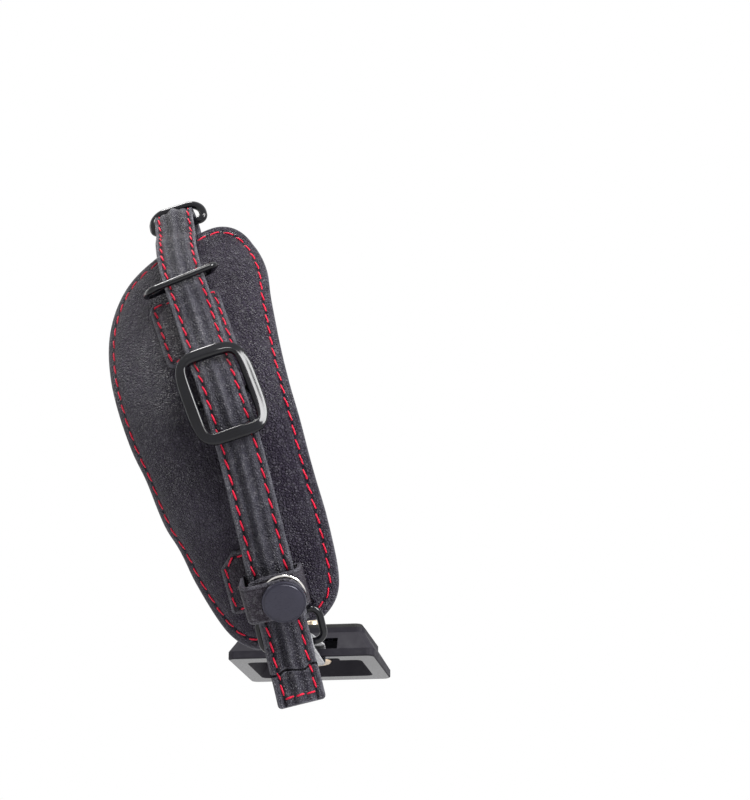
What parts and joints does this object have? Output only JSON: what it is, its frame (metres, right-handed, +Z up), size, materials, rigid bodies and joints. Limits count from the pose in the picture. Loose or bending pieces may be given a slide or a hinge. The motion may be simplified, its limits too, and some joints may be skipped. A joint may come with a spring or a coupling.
{
  "type": "camera hand strap",
  "caption": "Padded leather hand strap arched for a camera grip, with a slider buckle, wire keeper, snap tab and a base plate with a camera screw.",
  "frame": {"origin": "on the top face of the base plate's rubber seat, on its centre line, 14 mm beside the camera screw's axis", "axes": "+X along the camera's lens, +Y from the hand strap towards the plate and the camera's far end, +Z up out of the seat into the camera's underside"},
  "size_m": [0.0784, 0.1489, 0.1814],
  "materials": {
    "leather": "satin",
    "lining": "matt",
    "foam": "matt",
    "black_metal": "gloss",
    "cap_metal": "satin",
    "chrome": "polished",
    "webbing": "ribbed",
    "plastic": "satin",
    "rubber": "matt",
    "brass": "satin",
    "thread": "matt"
  },
  "bodies": {
    "strap": {"pad_leather": "leather", "pad_foam": "foam", "pad_lining": "lining", "upper_patch": "leather", "lower_patch": "leather", "strap_face_ply": "leather", "strap_back_ply": "leather", "under_strap": "leather", "snap_tab": "leather", "top_ring": "black_metal", "wire_keeper": "black_metal", "buckle": "black_metal", "lower_ring": "black_metal", "snap_cap": "cap_metal", "snap_socket": "chrome", "snap_stud": "chrome", "snap_eyelet": "black_metal", "webbing_loop": "webbing", "base_plate": "plastic", "seat_pad": "rubber"},
    "screw": {"camera_screw": "brass", "screw_clip": "black_metal"}
  },
  "joints": [
    {"name": "camera_screw_turn", "type": "hinge", "parent": "strap", "child": "screw", "pos_m": [0.014, 0, 0], "axis": [0, 0, 1], "continuous": true}
  ]
}
